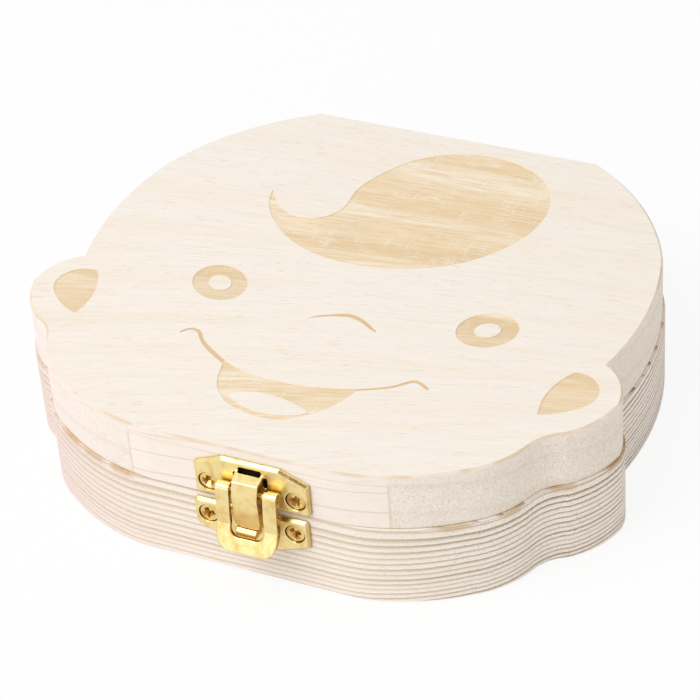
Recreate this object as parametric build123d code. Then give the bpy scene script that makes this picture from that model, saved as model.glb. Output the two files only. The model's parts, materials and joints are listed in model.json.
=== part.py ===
from build123d import *
import math
import os

# Wooden keepsake box for milk teeth, a flat child's head with ears, lying on its back.
# Millimetres. The box rests on z = 0, the latch faces -Y and the hinges face +Y.

# Body of the box, seen from above
half_width = 60.0
half_depth = 53.1
back_flat_half = 30.4
front_flat_half = 18.0
back_corner_radius = 2.5
ledge_corner_radius = 20.0
base_height = 17.4
base_ledge = 0.5
seam_gap = 0.15
frame_height = 9.75
panel_thickness = 2.1
edge_round = 0.4

# Right-hand outline as shares of half_width and half_depth, from the back flat to the chin:
# each arc runs from the last point through the first pair to the second pair
outline_arc_shares = [
    ((0.733, 0.785), (0.888, 0.493)),
    ((0.935, 0.198), (0.902, -0.164)),
    ((0.983, -0.264), (1.0, -0.356)),
    ((0.970, -0.452), (0.895, -0.556)),
    ((0.845, -0.595), (0.812, -0.653)),
    ((0.755, -0.768), (0.675, -0.847)),
]
chin_via_shares = (0.508, -0.950)

# Lid frame: two side boards with rails between them, hollowed to an oval
left_joint_x = -22.2
right_joint_x = 28.2
lid_wall = 9.1
cavity_side_wall = 13.0

# Wells milled into the base, ten teeth to a jaw and two wells for keepsakes
teeth_per_jaw = 10
tooth_well_radius = 4.3
tooth_well_depth = 11.0
tooth_arch_width = 80.0
tooth_arch_depth = 72.0
tooth_arch_start_deg = 14.0
keepsake_well_width = 13.0
keepsake_well_depth = 12.0
hair_well_length = 34.0
hair_well_y = 10.0
cord_well_length = 24.0
cord_well_y = -10.0
well_edge_round = 0.5

# Engraved face, cut shallow into the lid panel
engraving_depth = 0.15
stroke_width = 0.85
eye_half_length = 6.0
eye_half_breadth = 5.1
pupil_half_length = 2.55
pupil_half_breadth = 2.1
eye_tilt_deg = 34.0
left_eye_x = -24.8
left_eye_y = -8.3
right_eye_x = 29.6
right_eye_y = -5.9

# Points of the engraved figure as shares of half_width and half_depth
curl_shares = [
    (-0.472, 0.448), (-0.449, 0.356), (-0.383, 0.252), (-0.250, 0.143), (-0.090, 0.102), (0.070, 0.118),
    (0.227, 0.188), (0.378, 0.354), (0.448, 0.557), (0.440, 0.691), (0.377, 0.821), (0.287, 0.887),
    (0.168, 0.915), (0.050, 0.894), (-0.083, 0.804), (-0.163, 0.670), (-0.203, 0.535), (-0.205, 0.418),
    (-0.258, 0.335), (-0.345, 0.318), (-0.430, 0.380), (-0.472, 0.448),
]
mouth_shares = [
    (-0.222, -0.582), (-0.213, -0.632), (-0.196, -0.693), (-0.167, -0.741), (-0.127, -0.779), (-0.068, -0.805),
    (0.008, -0.815), (0.073, -0.799), (0.127, -0.758), (0.160, -0.722), (0.189, -0.676), (0.227, -0.573),
]
tongue_shares = [
    (-0.139, -0.738), (-0.117, -0.717), (-0.083, -0.700), (-0.042, -0.692), (0.006, -0.693), (0.048, -0.702),
    (0.083, -0.715), (0.126, -0.742), (0.108, -0.760), (0.066, -0.780), (0.022, -0.791), (-0.051, -0.788),
    (-0.099, -0.769), (-0.139, -0.738),
]

# Drawn lines of the figure: the third share is the line's breadth there, as a share of stroke_width
smile_shares = [
    (-0.418, -0.472, 0.3), (-0.405, -0.452, 0.65), (-0.385, -0.440, 0.75), (-0.363, -0.448, 0.9),
    (-0.341, -0.479, 0.85), (-0.312, -0.511, 1.05), (-0.278, -0.539, 1.2), (-0.241, -0.565, 1.1),
    (-0.198, -0.591, 1.0), (-0.148, -0.611, 1.0), (-0.096, -0.622, 1.0), (-0.028, -0.623, 0.9),
    (0.055, -0.620, 0.9), (0.132, -0.603, 0.8), (0.206, -0.579, 0.6), (0.276, -0.545, 0.6),
    (0.329, -0.510, 0.75), (0.357, -0.479, 0.8), (0.378, -0.463, 0.9), (0.403, -0.470, 0.9),
    (0.431, -0.489, 0.75),
]
nose_arc_shares = [
    (-0.066, -0.253, 0.1), (-0.033, -0.225, 0.5), (0.010, -0.203, 0.8), (0.056, -0.189, 1.15),
    (0.103, -0.203, 1.05), (0.139, -0.228, 0.85), (0.167, -0.247, 0.35),
]
ear_outer_shares = [(0.822, -0.237), (0.903, -0.267), (0.927, -0.331), (0.887, -0.422), (0.785, -0.492)]
ear_inner_via_shares = (0.777, -0.362)

# Latch of polished sheet metal, screwed to the flat front
latch_x = 2.6
plate_thickness = 1.0
plate_bevel = 0.6
plate_half_width = 11.5
plate_end_half_width = 5.7
lid_plate_side_height = 7.2
lid_plate_slope_height = 2.4
base_plate_side_height = 6.2
base_plate_slope_height = 2.2
plate_corner_radius = 0.8
lid_plate_lift = 0.35
base_plate_drop = 0.95
base_plate_shift = -0.7
latch_screw_spacing = 17.3
latch_screw_height = 3.2

# Nose pressed out of the lid plate: how far each fold stands out, and its height above the plate's edge
sheet = 0.6
nose_base_half_width = 2.8
nose_draft_deg = 5.0
nose_top_height = 7.65
nose_brow_out = 2.4
nose_brow_drop = 0.9
nose_ridge_out = 3.1
nose_ridge_drop = 3.7
nose_tip_out = 2.7
nose_length = 11.2
nose_tip_depth = 1.3
nose_tip_radius = 1.5
nose_relief = 0.35
nose_slot_height = 0.7
relief_slit_width = 0.5
relief_slit_height = 2.3

# Flap that hangs from a pin through the nose
pin_radius = 0.55
pin_out = 1.4
pin_height = 4.2
running_clearance = 0.04
flap_half_width = 6.05
flap_sheet = 0.8
flap_rim_depth = 1.5
flap_rim_width = 0.6
flap_eye_wall = 0.6
window_half_width = 3.3
flap_straight_drop = 4.5
flap_lean = 0.35
flap_middle_drop = 7.0
flap_flare_drop = 12.0
flap_flare_out = 2.1
flap_bar_width = 2.7
flap_corner_radius = 3.0
window_corner_radius = 1.6

# Catch pressed out of the base plate, just behind the flap's lower bar
catch_half_width = 2.1
catch_out = 2.6
catch_height = 2.3
catch_top_drop = 2.7
catch_lip = 0.7
catch_corner_radius = 0.9

# Screws of the latch and of the hinges
latch_screw_head_radius = 1.95
latch_screw_shank_radius = 0.9
latch_screw_length = 7.0
hinge_screw_head_radius = 1.5
hinge_screw_shank_radius = 0.75
hinge_screw_length = 6.0
screw_rim = 0.15
screw_tip = 1.6
screw_sink = 0.3
screw_clearance = 0.03
recess_width_share = 0.34
recess_length_share = 1.15
recess_depth_share = 0.38

# Two butt hinges on the flat back
hinge_x = 20.0
hinge_width = 16.0
leaf_height = 8.0
leaf_thickness = 0.8
leaf_corner_radius = 1.0
barrel_radius = 1.3
hinge_pin_radius = 0.6
hinge_pin_head = 0.35
hinge_pin_head_radius = 0.95
knuckle_share = 1 / 3
knuckle_gap = 0.1
knuckle_relief = 0.2
hinge_screw_spacing = 10.0
hinge_screw_drop = 4.9

# Lengths that follow from the ones above
overrun = 5.0 * sheet
lid_bottom = base_height + seam_gap
panel_bottom = lid_bottom + frame_height
box_height = panel_bottom + panel_thickness
hinge_axis_y = half_depth + barrel_radius
hinge_axis_z = base_height + seam_gap / 2
plate_face = half_depth + plate_thickness
pin_y = -(plate_face + pin_out)
lid_plate_z = lid_bottom + lid_plate_lift
base_plate_z = base_height - base_plate_drop
base_plate_x = latch_x + base_plate_shift
pin_z = lid_plate_z + pin_height
flap_eye_radius = pin_radius + running_clearance + flap_eye_wall


def spot(shares, grow=0):
    """A point of the top view from its shares of the half width and half depth."""
    return (shares[0] * (half_width + grow), shares[1] * (half_depth + grow))


def head_outline(grow):
    """The head with its ears, as arcs from the flat back round to the flat chin."""
    deep = half_depth + grow
    start = (back_flat_half, deep)
    right = []
    for via, end in outline_arc_shares:
        right.append(ThreePointArc(start, spot(via, grow), spot(end, grow)))
        start = spot(end, grow)
    right.append(ThreePointArc(start, spot(chin_via_shares, grow), (front_flat_half, -deep)))
    left = [edge.mirror(Plane.YZ) for edge in right]
    back = Line((-back_flat_half, deep), (back_flat_half, deep))
    front = Line((-front_flat_half, -deep), (front_flat_half, -deep))
    face = make_face(left + [front] + right + [back])
    return fillet(face.vertices().group_by(Axis.Y)[-1], back_corner_radius)


def base_outline(grow):
    """The lid's outline with a narrow ledge round the curves, planed flush at front and back."""
    planed = head_outline(base_ledge + grow) & Rectangle(3 * half_width, 2 * (half_depth + grow))
    return fillet(planed.vertices().group_by(Axis.Y)[0], ledge_corner_radius)


def at_height(shape, z):
    return Pos(0, 0, z) * shape


def soft_slab(outline, thickness):
    """A board on z = 0 whose upper edge is broken by a narrow bevel: outline(grow) draws its face."""
    shoulder = thickness - edge_round
    straight = extrude(outline(0), shoulder)
    bevel = loft([at_height(outline(0), shoulder), at_height(outline(-edge_round), thickness)], ruled=True)
    return straight + bevel


def screw_profile(head_radius, shank_radius, length, grow, above):
    """Half section of a countersunk screw whose head lies at z = 0 and points up."""
    cone_end = -screw_rim - (head_radius - shank_radius)
    points = [
        (0, above), (head_radius + grow, above), (head_radius + grow, -screw_rim),
        (shank_radius + grow, cone_end), (shank_radius + grow, -(length - screw_tip)), (0, -length - grow),
    ]
    return make_face(Plane.XZ * Polyline(*points, close=True))


def screw(head_radius, shank_radius, length):
    body = revolve(screw_profile(head_radius, shank_radius, length, 0, 0), Axis.Z)
    long, wide = recess_length_share * head_radius, recess_width_share * head_radius
    deep = recess_depth_share * head_radius
    cross = Box(long, wide, 2 * deep) + Box(wide, long, 2 * deep)
    return body - cross


def screw_hole(head_radius, shank_radius, length):
    """Room for a screw and for the driver above it."""
    return revolve(screw_profile(head_radius, shank_radius, length, screw_clearance, overrun), Axis.Z)


def front_place(x, z):
    """A frame on the latch plates, looking out of the front."""
    origin = (x, -plate_face + screw_sink, z)
    return Location(Plane(origin=origin, x_dir=(1, 0, 0), z_dir=(0, -1, 0)))


def back_place(x, z):
    """A frame on the hinge leaves, looking out of the back."""
    origin = (x, half_depth + leaf_thickness, z)
    return Location(Plane(origin=origin, x_dir=(-1, 0, 0), z_dir=(0, 1, 0)))


def latch_screw_places(x, z):
    return [front_place(x + side * latch_screw_spacing / 2, z) for side in (-1, 1)]


def hinge_screw_places(z):
    places = []
    for hinge_side in (-1, 1):
        for screw_side in (-1, 1):
            places.append(back_place(hinge_side * hinge_x + screw_side * hinge_screw_spacing / 2, z))
    return places


latch_size = (latch_screw_head_radius, latch_screw_shank_radius, latch_screw_length)
hinge_size = (hinge_screw_head_radius, hinge_screw_shank_radius, hinge_screw_length)
lid_latch_places = latch_screw_places(latch_x, lid_plate_z + latch_screw_height)
base_latch_places = latch_screw_places(base_plate_x, base_plate_z - latch_screw_height)
lid_hinge_places = hinge_screw_places(hinge_axis_z + hinge_screw_drop)
base_hinge_places = hinge_screw_places(hinge_axis_z - hinge_screw_drop)


def placed(places, shape):
    return Compound(children=[place * shape for place in places])


def drilled(shape, places, size):
    for place in places:
        shape = shape - place * screw_hole(*size)
    return shape


def tooth_places():
    """Ten wells along each jaw of an oval, upper jaw at the back."""
    span = 180 - 2 * tooth_arch_start_deg
    places = []
    for jaw in (1, -1):
        for tooth in range(teeth_per_jaw):
            angle = math.radians(tooth_arch_start_deg + span * tooth / (teeth_per_jaw - 1))
            x = tooth_arch_width / 2 * math.cos(angle)
            y = jaw * tooth_arch_depth / 2 * math.sin(angle)
            places.append(Pos(x, y, base_height))
    return places


def well(face, depth):
    """A milled well with a softened rim, its mouth at z = 0."""
    hollow = Pos(0, 0, -depth) * extrude(face, depth + overrun)
    rim = extrude(Pos(0, 0, -well_edge_round) * face, well_edge_round, taper=-45)
    return hollow + rim


def base_block():
    block = at_height(mirror(soft_slab(base_outline, base_height), Plane.XY), base_height)
    tooth_well = well(Circle(tooth_well_radius), tooth_well_depth)
    for place in tooth_places():
        block = block - place * tooth_well
    for y, length in ((hair_well_y, hair_well_length), (cord_well_y, cord_well_length)):
        keepsake = well(SlotOverall(length, keepsake_well_width), keepsake_well_depth)
        block = block - Pos(0, y, base_height) * keepsake
    block = drilled(block, base_latch_places, latch_size)
    return drilled(block, base_hinge_places, hinge_size)


def lid_frame():
    """Four boards glued side by side, sawn to the outline and hollowed together."""
    cavity = Ellipse(half_width - cavity_side_wall, half_depth - lid_wall)
    frame = at_height(extrude(head_outline(0) - cavity, frame_height), lid_bottom)
    frame = drilled(frame, lid_latch_places, latch_size)
    frame = drilled(frame, lid_hinge_places, hinge_size)
    middle_width = right_joint_x - left_joint_x
    middle_x = (left_joint_x + right_joint_x) / 2
    side_width = 2 * half_width
    boards = {
        "lid_left_stile": (left_joint_x - side_width / 2, 0, side_width, 4 * half_depth),
        "lid_right_stile": (right_joint_x + side_width / 2, 0, side_width, 4 * half_depth),
        "lid_front_rail": (middle_x, -half_depth, middle_width, 2 * half_depth),
        "lid_back_rail": (middle_x, half_depth, middle_width, 2 * half_depth),
    }
    pieces = {}
    for name, (x, y, width, depth) in boards.items():
        pieces[name] = frame & Pos(x, y, lid_bottom) * Box(width, depth, 2 * box_height)
    return pieces


def stroke(entries):
    """A drawn line along points, each entry with its share of the stroke's width, taken square to the line."""
    points = [Vector(*spot(entry)) for entry in entries]
    left, right = [], []
    for index, entry in enumerate(entries):
        along = points[min(index + 1, len(points) - 1)] - points[max(index - 1, 0)]
        aside = along.normalized().rotate(Axis.Z, 90) * (entry[2] * stroke_width / 2)
        left.append(points[index] + aside)
        right.append(points[index] - aside)
    ends = [Line(left[0], right[0]), Line(left[-1], right[-1])]
    return make_face([Spline(*left), Spline(*right)] + ends)


def ear_petal():
    outer = Spline(*[spot(pair) for pair in ear_outer_shares])
    inner = ThreePointArc(spot(ear_outer_shares[0]), spot(ear_inner_via_shares), spot(ear_outer_shares[-1]))
    return make_face([outer, inner])


def mouth():
    """An open mouth under the smile, with the tongue left standing."""
    first, last = mouth_shares[0], mouth_shares[-1]
    along_smile = [entry for entry in smile_shares if first[0] < entry[0] < last[0]]
    lower = Spline(*[spot(pair) for pair in mouth_shares])
    lips = Spline(*[spot(entry) for entry in [first] + along_smile + [last]])
    tongue = make_face(Spline(*[spot(pair) for pair in tongue_shares]))
    return make_face([lower, lips]) - tongue


def engraved_faces():
    eye = Ellipse(eye_half_length, eye_half_breadth) - Ellipse(pupil_half_length, pupil_half_breadth)
    petal = ear_petal()
    curl = make_face(Spline(*[spot(pair) for pair in curl_shares]))
    return [
        curl, Pos(left_eye_x, left_eye_y) * Rot(0, 0, -eye_tilt_deg) * eye,
        Pos(right_eye_x, right_eye_y) * Rot(0, 0, eye_tilt_deg) * eye,
        petal, mirror(petal, Plane.YZ), mouth(), stroke(smile_shares), stroke(nose_arc_shares),
    ]


def lid_panel():
    panel = at_height(soft_slab(head_outline, panel_thickness), panel_bottom)
    for face in engraved_faces():
        panel = panel - at_height(extrude(face, 2 * engraving_depth), box_height - engraving_depth)
    return panel


def plate_blank(side_z, end_z):
    """A bevelled latch plate from z = 0, with upright sides to side_z and a narrower end at end_z."""
    points = [
        (-plate_half_width, 0), (plate_half_width, 0), (plate_half_width, side_z),
        (plate_end_half_width, end_z), (-plate_end_half_width, end_z), (-plate_half_width, side_z),
    ]
    face = make_face(Polyline(*points, close=True))
    face = fillet(face.vertices(), plate_corner_radius)
    plate = extrude(Plane.XZ.offset(half_depth) * face, plate_thickness)
    return chamfer(plate.faces().sort_by(Axis.Y)[0].edges(), plate_bevel)


def nose_shape(wall):
    """The nose as a full shape: wall = 0 gives its outside, the sheet gives its inside."""
    half = nose_base_half_width - wall
    bottom = nose_top_height - nose_length + wall
    front = Pos(0, (nose_top_height + bottom) / 2) * Rectangle(2 * half, nose_top_height - bottom)
    tip = front.vertices().group_by(Axis.Y)[0]
    front = fillet(tip, nose_tip_radius)
    width = extrude(Plane.XZ.offset(plate_face) * front, overrun + nose_ridge_out, taper=nose_draft_deg)
    top = nose_top_height
    profile = [
        (0, top - 2 * wall), (nose_brow_out - wall, top - nose_brow_drop - wall),
        (nose_ridge_out - wall, top - nose_ridge_drop), (nose_tip_out - wall, bottom - wall),
        (nose_tip_depth, bottom - wall), (nose_relief, -lid_plate_lift - seam_gap),
        (nose_relief, 0), (0, 0),
    ]
    side_points = [(-plate_face - out, height) for out, height in profile]
    side = make_face(Plane.YZ * Polyline(*side_points, close=True))
    side = extrude(side, nose_base_half_width, both=True)
    return width & side


def nose():
    """A hollow nose of thin sheet, open at the back and at the tip."""
    hollow = nose_shape(sheet)
    clear_width = 2 * (nose_base_half_width - sheet)
    through = Pos(0, -plate_face, 0) * Box(clear_width, 2 * nose_relief, 2 * nose_top_height)
    return nose_shape(0) - hollow - through


def latch_lid_plate():
    plate = plate_blank(lid_plate_side_height, lid_plate_side_height + lid_plate_slope_height)
    opening_top = nose_top_height + nose_slot_height
    opening_bottom = 2 * sheet
    opening = Pos(0, -plate_face, (opening_top + opening_bottom) / 2) * Box(
        2 * (nose_base_half_width - sheet), 4 * plate_thickness, opening_top - opening_bottom)
    slit_top = nose_top_height - sheet
    for side in (-1, 1):
        slit_x = side * (nose_base_half_width + relief_slit_width / 2)
        slit = Pos(slit_x, -plate_face, slit_top - relief_slit_height / 2)
        plate = plate - slit * Box(relief_slit_width, 4 * plate_thickness, relief_slit_height)
    plate = Pos(latch_x, 0, lid_plate_z) * (plate - opening + nose())
    plate = plate - pin_hole(pin_radius)
    return drilled(plate, lid_latch_places, latch_size)


def pin_hole(radius):
    axis = Plane(origin=(latch_x, pin_y, pin_z), x_dir=(0, 1, 0), z_dir=(1, 0, 0))
    return extrude(axis * Circle(radius), flap_half_width + overrun, both=True)


def latch_pin():
    axis = Plane(origin=(latch_x, pin_y, pin_z), x_dir=(0, 1, 0), z_dir=(1, 0, 0))
    return extrude(axis * Circle(pin_radius), flap_half_width, both=True)


def latch_base_plate():
    """The lower plate with the pressed-out catch that stands in the flap's window."""
    plate = plate_blank(-base_plate_side_height, -base_plate_side_height - base_plate_slope_height)
    top = -catch_top_drop
    bottom = top - catch_height
    lip_out = catch_out - catch_lip
    profile = [(0, bottom), (lip_out, bottom), (catch_out, bottom + catch_lip), (catch_out, top - catch_lip),
               (lip_out, top), (0, top - catch_lip)]
    points = [(-plate_face - out, height) for out, height in profile]
    side = make_face(Plane.YZ * Polyline(*points, close=True))
    catch = extrude(side, catch_half_width, both=True)
    lip = Pos(0, (top + bottom) / 2) * Rectangle(2 * catch_half_width, catch_height)
    lip = fillet(lip.vertices().group_by(Axis.Y)[0], catch_corner_radius)
    catch = catch & extrude(Plane.XZ * lip, 2 * plate_face)
    plate = Pos(base_plate_x, 0, base_plate_z) * (plate + catch)
    return drilled(plate, base_latch_places, latch_size)


def flap_layer(front, back, half_across, foot_gap):
    """A layer of the bent flap between two depths behind its face: arms, a slight lean, a flared foot."""
    slope = flap_flare_out / (flap_flare_drop - flap_middle_drop)
    foot_drop = flap_flare_drop - foot_gap
    foot_out = flap_lean + slope * (foot_drop - flap_middle_drop)
    face = [(0, 0), (flap_lean, -flap_straight_drop), (flap_lean, -flap_middle_drop), (foot_out, -foot_drop)]
    outer = [(flap_eye_radius + out - front, drop) for out, drop in face]
    inner = [(flap_eye_radius + out - back, drop) for out, drop in reversed(face)]
    points = [(pin_y - out, pin_z + drop) for out, drop in outer + inner]
    side = make_face(Plane.YZ * Polyline(*points, close=True))
    return Pos(latch_x, 0, 0) * extrude(side, half_across, both=True)


def latch_flap():
    """A U-shaped flap of pressed sheet with turned-back sides, its arms curled round the pin."""
    body = flap_layer(0, flap_rim_depth, flap_half_width, 0)
    body = body - flap_layer(flap_sheet, 2 * flap_rim_depth, flap_half_width - flap_rim_width, flap_rim_width)
    axis = Plane(origin=(latch_x, pin_y, pin_z), x_dir=(0, 1, 0), z_dir=(1, 0, 0))
    body = body + extrude(axis * Circle(flap_eye_radius), flap_half_width, both=True)
    shape = Pos(0, -flap_flare_drop / 2) * Rectangle(2 * flap_half_width, flap_flare_drop)
    shape = fillet(shape.vertices().group_by(Axis.Y)[0], flap_corner_radius)
    shape = shape + Pos(0, flap_eye_radius / 2) * Rectangle(2 * flap_half_width, 2 * flap_eye_radius)
    window_height = flap_flare_drop - flap_bar_width
    window = Pos(0, -window_height / 2) * Rectangle(2 * window_half_width, window_height)
    window = fillet(window.vertices().group_by(Axis.Y)[0], window_corner_radius)
    window = window + Pos(0, flap_eye_radius) * Rectangle(2 * window_half_width, 2 * flap_eye_radius)
    front = Plane(origin=(latch_x, -half_depth, pin_z), x_dir=(1, 0, 0), z_dir=(0, -1, 0))
    cutter = extrude(front * (shape - window), 4 * flap_half_width)
    return (body & cutter) - pin_hole(pin_radius + running_clearance)


def knuckle_spans(for_lid):
    """Where a leaf's knuckles lie along the pin: the lid has the middle one, the base the other two."""
    middle = hinge_width * knuckle_share / 2
    if for_lid:
        return [(-middle + knuckle_gap / 2, middle - knuckle_gap / 2)]
    end = hinge_width / 2
    return [(-end, -middle - knuckle_gap / 2), (middle + knuckle_gap / 2, end)]


def hinge_bar(radius, low, high, x):
    """A round bar along the hinge axis from low to high, measured from the hinge's centre."""
    axis = Plane(origin=(x + low, hinge_axis_y, hinge_axis_z), x_dir=(0, 1, 0), z_dir=(1, 0, 0))
    return extrude(axis * Circle(radius), high - low)


def hinge_leaf(x, direction):
    """One leaf with its knuckles: direction 1 goes up the lid, -1 down the base."""
    for_lid = direction == 1
    face = Pos(0, direction * leaf_height / 2) * Rectangle(hinge_width, leaf_height)
    outer_corners = face.vertices().group_by(Axis.Y)[-1 if for_lid else 0]
    face = fillet(outer_corners, leaf_corner_radius)
    back = Plane(origin=(x, half_depth, hinge_axis_z), x_dir=(-1, 0, 0), z_dir=(0, 1, 0))
    leaf = extrude(back * face, leaf_thickness)
    reach = barrel_radius + knuckle_relief
    for low, high in knuckle_spans(not for_lid):
        gap = Pos(x + (low + high) / 2, hinge_axis_y, hinge_axis_z)
        leaf = leaf - gap * Box(high - low + 2 * knuckle_gap, 2 * reach, 2 * reach)
    for low, high in knuckle_spans(for_lid):
        leaf = leaf + hinge_bar(barrel_radius, low, high, x)
    bore = hinge_pin_radius + running_clearance
    leaf = leaf - hinge_bar(bore, -hinge_width, hinge_width, x)
    places = lid_hinge_places if for_lid else base_hinge_places
    return drilled(leaf, places, hinge_size)


def hinge_pin(x):
    """A plain pin with a small head at each end that keeps it in the knuckles."""
    end = hinge_width / 2 + knuckle_gap
    pin = hinge_bar(hinge_pin_radius, -end, end, x)
    left_head = hinge_bar(hinge_pin_head_radius, -end - hinge_pin_head, -end, x)
    right_head = hinge_bar(hinge_pin_head_radius, end, end + hinge_pin_head, x)
    return pin + left_head + right_head


def main():
    os.makedirs("parts", exist_ok=True)
    nodes = {
        "base_block": base_block(), "lid_panel": lid_panel(), "latch_lid_plate": latch_lid_plate(),
        "latch_base_plate": latch_base_plate(), "latch_flap": latch_flap(), "latch_pin": latch_pin(),
        "latch_lid_screws": placed(lid_latch_places, screw(*latch_size)),
        "latch_base_screws": placed(base_latch_places, screw(*latch_size)),
    }
    nodes.update(lid_frame())
    for index, (name, x) in enumerate((("left", -hinge_x), ("right", hinge_x))):
        two = slice(2 * index, 2 * index + 2)
        nodes[f"hinge_{name}_lid_leaf"] = hinge_leaf(x, 1)
        nodes[f"hinge_{name}_base_leaf"] = hinge_leaf(x, -1)
        nodes[f"hinge_{name}_pin"] = hinge_pin(x)
        nodes[f"hinge_{name}_lid_screws"] = placed(lid_hinge_places[two], screw(*hinge_size))
        nodes[f"hinge_{name}_base_screws"] = placed(base_hinge_places[two], screw(*hinge_size))
    for name, shape in nodes.items():
        export_step(shape, f"parts/{name}.step")
        print(name, len(shape.solids()), "solids", round(shape.volume, 1), "mm3")


main()
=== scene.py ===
# %% [markdown]
# This lesson dresses a small wooden box for milk teeth. The box is a flat child's head with two ears,
# lying on its back: a solid pine base, a hinged lid with an engraved face, and a polished brass latch.
# The solid parts come ready made and stay where they are. We give them their wood and metal, round the
# pressed sheet where its edges catch the light, make real screws, and set up the studio.

# %% Load the box as a fixed frame
import json
import math

import bpy
import bmesh
from mathutils import Matrix, Vector

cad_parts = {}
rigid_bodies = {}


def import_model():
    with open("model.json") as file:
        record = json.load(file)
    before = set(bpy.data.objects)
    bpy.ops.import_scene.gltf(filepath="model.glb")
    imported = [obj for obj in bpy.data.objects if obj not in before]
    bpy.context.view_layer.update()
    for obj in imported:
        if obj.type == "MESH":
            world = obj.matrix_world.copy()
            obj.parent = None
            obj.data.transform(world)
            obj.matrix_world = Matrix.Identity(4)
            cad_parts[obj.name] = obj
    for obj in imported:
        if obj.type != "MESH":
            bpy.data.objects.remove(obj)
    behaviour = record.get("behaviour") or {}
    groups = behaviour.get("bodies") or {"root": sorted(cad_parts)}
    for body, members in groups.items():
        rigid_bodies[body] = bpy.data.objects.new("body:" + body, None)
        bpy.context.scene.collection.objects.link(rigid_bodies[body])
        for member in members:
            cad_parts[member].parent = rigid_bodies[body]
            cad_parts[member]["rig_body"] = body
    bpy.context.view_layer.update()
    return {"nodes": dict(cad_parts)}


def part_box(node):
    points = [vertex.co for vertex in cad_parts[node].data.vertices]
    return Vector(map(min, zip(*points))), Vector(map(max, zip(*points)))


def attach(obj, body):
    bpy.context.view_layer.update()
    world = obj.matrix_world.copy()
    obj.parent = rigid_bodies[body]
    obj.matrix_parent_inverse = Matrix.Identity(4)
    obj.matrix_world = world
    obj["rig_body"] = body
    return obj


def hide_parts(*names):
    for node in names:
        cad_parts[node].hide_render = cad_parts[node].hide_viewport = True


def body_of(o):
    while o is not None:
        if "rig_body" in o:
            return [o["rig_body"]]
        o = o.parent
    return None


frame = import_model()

mm = 0.001

# %% [markdown]
# The camera comes first, because every finish is judged through it. It stands in front of the box, to
# the right and above, with a long lens, so the box shows little perspective. We place it by its compass
# angle, its height angle and a small roll, the way a photographer would note a tripod head.

# %% Camera
picture_side_px = 700
sensor_width_mm = 36.0
focal_px = 2742.7
camera_place = Vector((186.5, -382.4, 339.8)) * mm
compass, height_angle, roll = (math.radians(angle) for angle in (26.26, 37.51, 4.50))


def tripod_matrix():
    """The camera's axes from the three angles of its tripod head."""
    right = Vector((math.cos(compass), math.sin(compass), 0))
    level = Vector((-math.sin(compass), math.cos(compass), 0))
    ahead = level * math.cos(height_angle) - Vector((0, 0, math.sin(height_angle)))
    down = ahead.cross(right)
    rolled_right = right * math.cos(roll) + down * math.sin(roll)
    rolled_down = down * math.cos(roll) - right * math.sin(roll)
    turn = Matrix((rolled_right, -rolled_down, -ahead)).transposed().to_4x4()
    return Matrix.Translation(camera_place) @ turn


lens = bpy.data.cameras.new("camera")
lens.sensor_width = sensor_width_mm
lens.lens = focal_px / picture_side_px * sensor_width_mm
lens.clip_start, lens.clip_end = 0.01, 10.0
camera = bpy.data.objects.new("camera", lens)
camera.matrix_world = tripod_matrix()
bpy.context.scene.collection.objects.link(camera)
bpy.context.scene.camera = camera
print("lens", round(lens.lens, 1), "mm")

# %% [markdown]
# The studio is a white sweep. The world shows plain white to the camera and in reflections, but lights
# the wood at a lower level, so that pale pine doesn't burn out. The rays tell the world which of the two
# is asked for.

# %% World
world_level = 0.66
world = bpy.data.worlds.new("studio")
world.use_nodes = True
bpy.context.scene.world = world
bpy.context.scene.view_settings.view_transform = "Standard"
sky = world.node_tree
sky.nodes.clear()
rays = sky.nodes.new("ShaderNodeLightPath")
seen = sky.nodes.new("ShaderNodeMath")
seen.operation = "MAXIMUM"
sky.links.new(rays.outputs["Is Camera Ray"], seen.inputs[0])
mirrored = sky.nodes.new("ShaderNodeMath")
mirrored.operation = "MAXIMUM"
sky.links.new(rays.outputs["Is Glossy Ray"], mirrored.inputs[0])
sky.links.new(rays.outputs["Is Transmission Ray"], mirrored.inputs[1])
sky.links.new(mirrored.outputs[0], seen.inputs[1])
lighting = sky.nodes.new("ShaderNodeBackground")
lighting.inputs["Color"].default_value = (1.0, 0.995, 0.99, 1)
lighting.inputs["Strength"].default_value = world_level
white = sky.nodes.new("ShaderNodeBackground")
either = sky.nodes.new("ShaderNodeMixShader")
sky.links.new(seen.outputs[0], either.inputs[0])
sky.links.new(lighting.outputs[0], either.inputs[1])
sky.links.new(white.outputs[0], either.inputs[2])
white.inputs["Color"].default_value = (1, 1, 1, 1)
sky_out = sky.nodes.new("ShaderNodeOutputWorld")
sky.links.new(either.outputs[0], sky_out.inputs[0])
print("the world lights the box at", world_level, "of the white that it shows")

# %% [markdown]
# One big soft lamp stands at the front left, and a weaker one low on the left. Polished brass shows
# whatever stands round it, so two more things stand there for the metal: a bright strip low in front,
# which lights the foot of the flap, and a dark flag, which gives the right bevel of the upper plate its
# brown. The camera and the wood don't see them.

# %% Lamps
middle_of_box = Vector((0, 0, 20)) * mm
middle_of_latch = Vector((2.6, -54, 18)) * mm


def soft_lamp(name, place_mm, size_mm, power, colour, metal_only=False, wood_only=False):
    """A square soft box that looks at the middle of the box."""
    light = bpy.data.lights.new(name, "AREA")
    light.size = size_mm * mm
    light.energy = power
    light.color = colour
    lamp = bpy.data.objects.new(name, light)
    lamp.location = Vector(place_mm) * mm
    aim = middle_of_box - lamp.location
    lamp.rotation_mode = "QUATERNION"
    lamp.rotation_quaternion = aim.to_track_quat("-Z", "Y")
    lamp.visible_camera = False
    lamp.visible_diffuse = not metal_only
    lamp.visible_glossy = not wood_only
    bpy.context.scene.collection.objects.link(lamp)
    print(name, "stands", round(aim.length / mm), "mm away")


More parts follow.
